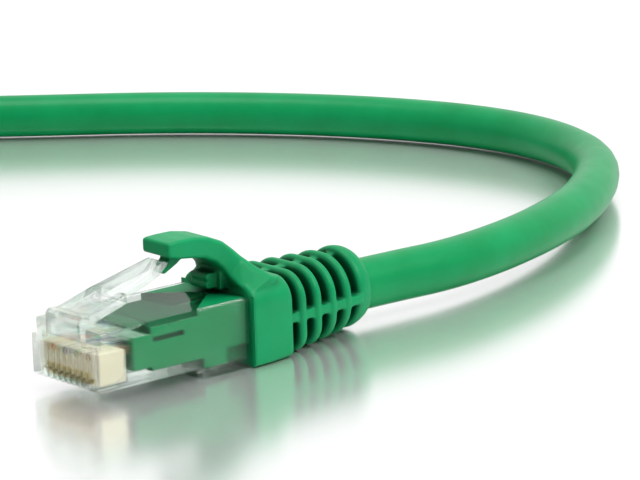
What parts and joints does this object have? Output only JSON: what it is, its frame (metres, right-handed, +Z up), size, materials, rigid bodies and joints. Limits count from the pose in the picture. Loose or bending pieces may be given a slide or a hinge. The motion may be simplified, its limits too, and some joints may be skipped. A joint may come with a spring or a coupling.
{
  "type": "ethernet patch cable",
  "caption": "Green patch cable with clear modular plugs, latch tabs and ribbed snagless boots, its length wound in a tied coil.",
  "frame": {"origin": "on the surface that the cable lies on, under the middle of the near plug and boot", "axes": "+X from the near plug's nose towards its cable, +Y to the side on which the cable lies in its coil, +Z up, on the latch side"},
  "size_m": [0.1432, 0.1644, 0.0152],
  "materials": {
    "clear_plastic": "clear polycarbonate, glossy",
    "gold_plate": "gold-plated, bright",
    "ivory_plastic": "moulded, satin",
    "copper": "bare copper",
    "green_jacket": "extruded soft vinyl, satin",
    "green_boot": "moulded soft vinyl, satin",
    "white_plastic": "extruded, matt",
    "black_fabric": "hook-and-loop strap",
    "insulation_white_orange": "thin polyolefin insulation",
    "insulation_orange": "thin polyolefin insulation",
    "insulation_white_green": "thin polyolefin insulation",
    "insulation_blue": "thin polyolefin insulation",
    "insulation_white_blue": "thin polyolefin insulation",
    "insulation_green": "thin polyolefin insulation",
    "insulation_white_brown": "thin polyolefin insulation",
    "insulation_brown": "thin polyolefin insulation"
  },
  "bodies": {
    "cable_and_plugs": {"plug_housing_a": "clear_plastic", "crimp_wedge_a": "clear_plastic", "contacts_a": "gold_plate", "load_bar_a": "ivory_plastic", "conductor_cores_a": "copper", "jacket_end_a": "green_jacket", "pair_separator_a": "white_plastic", "boot_a": "green_boot", "wire_1_white_orange_a": "insulation_white_orange", "wire_2_orange_a": "insulation_orange", "wire_3_white_green_a": "insulation_white_green", "wire_4_blue_a": "insulation_blue", "wire_5_white_blue_a": "insulation_white_blue", "wire_6_green_a": "insulation_green", "wire_7_white_brown_a": "insulation_white_brown", "wire_8_brown_a": "insulation_brown", "plug_housing_b": "clear_plastic", "crimp_wedge_b": "clear_plastic", "contacts_b": "gold_plate", "load_bar_b": "ivory_plastic", "conductor_cores_b": "copper", "jacket_end_b": "green_jacket", "pair_separator_b": "white_plastic", "boot_b": "green_boot", "wire_1_white_orange_b": "insulation_white_orange", "wire_2_orange_b": "insulation_orange", "wire_3_white_green_b": "insulation_white_green", "wire_4_blue_b": "insulation_blue", "wire_5_white_blue_b": "insulation_white_blue", "wire_6_green_b": "insulation_green", "wire_7_white_brown_b": "insulation_white_brown", "wire_8_brown_b": "insulation_brown", "cable_lead": "green_jacket", "cable_tail": "green_jacket", "cable_coil": "green_jacket", "coil_tie": "black_fabric"},
    "near_guard": {"boot_guard_a": "green_boot"},
    "near_latch": {"plug_latch_a": "clear_plastic"},
    "far_guard": {"boot_guard_b": "green_boot"},
    "far_latch": {"plug_latch_b": "clear_plastic"}
  },
  "joints": [
    {"name": "near_guard_flex", "type": "hinge", "parent": "cable_and_plugs", "child": "near_guard", "pos_m": [0.0003, 0, 0.0125], "axis": [0, 1, 0], "range_deg": [-19, 0], "stiffness_Nm_per_rad": 0.02},
    {"name": "near_latch_flex", "type": "hinge", "parent": "cable_and_plugs", "child": "near_latch", "pos_m": [-0.0186, 0, 0.00885], "axis": [0, 1, 0], "range_deg": [0, 12.5], "stiffness_Nm_per_rad": 0.01},
    {"name": "far_guard_flex", "type": "hinge", "parent": "cable_and_plugs", "child": "far_guard", "pos_m": [-0.0387, 0.0383, 0.0125], "axis": [-1, 0, 0], "range_deg": [-19, 0], "stiffness_Nm_per_rad": 0.02},
    {"name": "far_latch_flex", "type": "hinge", "parent": "cable_and_plugs", "child": "far_latch", "pos_m": [-0.0387, 0.0194, 0.00885], "axis": [-1, 0, 0], "range_deg": [0, 12.5], "stiffness_Nm_per_rad": 0.01}
  ],
  "couplings": [
    {"joint": "near_latch_flex", "follows": "near_guard_flex", "ratio": -0.63},
    {"joint": "far_latch_flex", "follows": "far_guard_flex", "ratio": -0.63}
  ]
}
